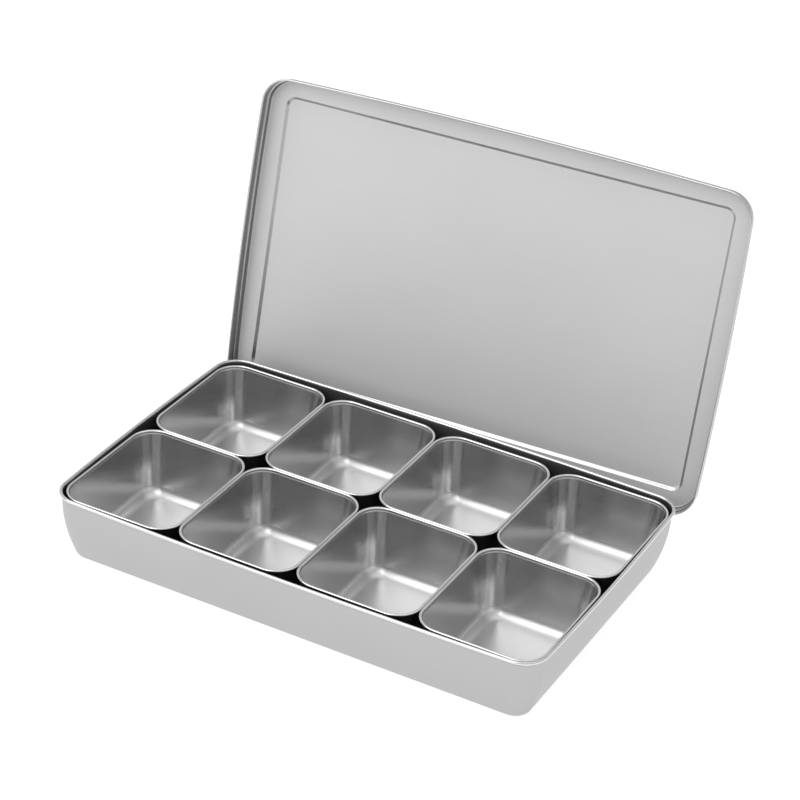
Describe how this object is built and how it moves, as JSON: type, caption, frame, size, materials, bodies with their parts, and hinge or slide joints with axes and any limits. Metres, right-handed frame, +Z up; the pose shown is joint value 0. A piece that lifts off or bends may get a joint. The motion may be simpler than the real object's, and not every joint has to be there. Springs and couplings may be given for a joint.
{
  "type": "rectangular steel spice box with lift-out cups and loose lid",
  "caption": "Low rectangular steel tray filled with deep lift-out square-cornered cups for spices or condiments, with a loose pressed lid standing open behind it.",
  "frame": {"origin": "middle of the tray's flat underside, on the plane the tray stands on", "axes": "+X along the tray's long side, +Y from the open front toward the lid, +Z up"},
  "size_m": [0.3916, 0.3255, 0.2745],
  "materials": {
    "tray_steel": "fine matt satin steel outside, brighter polished rolled rim",
    "cup_steel": "satin drawn steel walls, smoother reflective floor, polished rolled rim",
    "lid_steel": "even satin steel with very fine lengthwise grain, polished edge"
  },
  "bodies": {
    "tray_body": {"tray": "tray_steel"},
    "cup_front_1_body": {"cup_front_1": "cup_steel"},
    "cup_front_2_body": {"cup_front_2": "cup_steel"},
    "cup_front_3_body": {"cup_front_3": "cup_steel"},
    "cup_front_4_body": {"cup_front_4": "cup_steel"},
    "cup_back_1_body": {"cup_back_1": "cup_steel"},
    "cup_back_2_body": {"cup_back_2": "cup_steel"},
    "cup_back_3_body": {"cup_back_3": "cup_steel"},
    "cup_back_4_body": {"cup_back_4": "cup_steel"},
    "lid_body": {"lid": "lid_steel"}
  },
  "joints": [
    {"name": "cup_front_1_lift", "type": "slide", "parent": "tray_body", "child": "cup_front_1_body", "axis": [0, 0, 1], "range_m": [0, 0.07]},
    {"name": "cup_front_2_lift", "type": "slide", "parent": "tray_body", "child": "cup_front_2_body", "axis": [0, 0, 1], "range_m": [0, 0.07]},
    {"name": "cup_front_3_lift", "type": "slide", "parent": "tray_body", "child": "cup_front_3_body", "axis": [0, 0, 1], "range_m": [0, 0.07]},
    {"name": "cup_front_4_lift", "type": "slide", "parent": "tray_body", "child": "cup_front_4_body", "axis": [0, 0, 1], "range_m": [0, 0.07]},
    {"name": "cup_back_1_lift", "type": "slide", "parent": "tray_body", "child": "cup_back_1_body", "axis": [0, 0, 1], "range_m": [0, 0.07]},
    {"name": "cup_back_2_lift", "type": "slide", "parent": "tray_body", "child": "cup_back_2_body", "axis": [0, 0, 1], "range_m": [0, 0.07]},
    {"name": "cup_back_3_lift", "type": "slide", "parent": "tray_body", "child": "cup_back_3_body", "axis": [0, 0, 1], "range_m": [0, 0.07]},
    {"name": "cup_back_4_lift", "type": "slide", "parent": "tray_body", "child": "cup_back_4_body", "axis": [0, 0, 1], "range_m": [0, 0.07]},
    {"name": "lid_close", "type": "hinge", "parent": "tray_body", "child": "lid_body", "pos_m": [-0.00219, 0.11933, 0.03522], "axis": [-0.9993, -0.026, 0.0258], "range_deg": [-101.34, 0]}
  ]
}
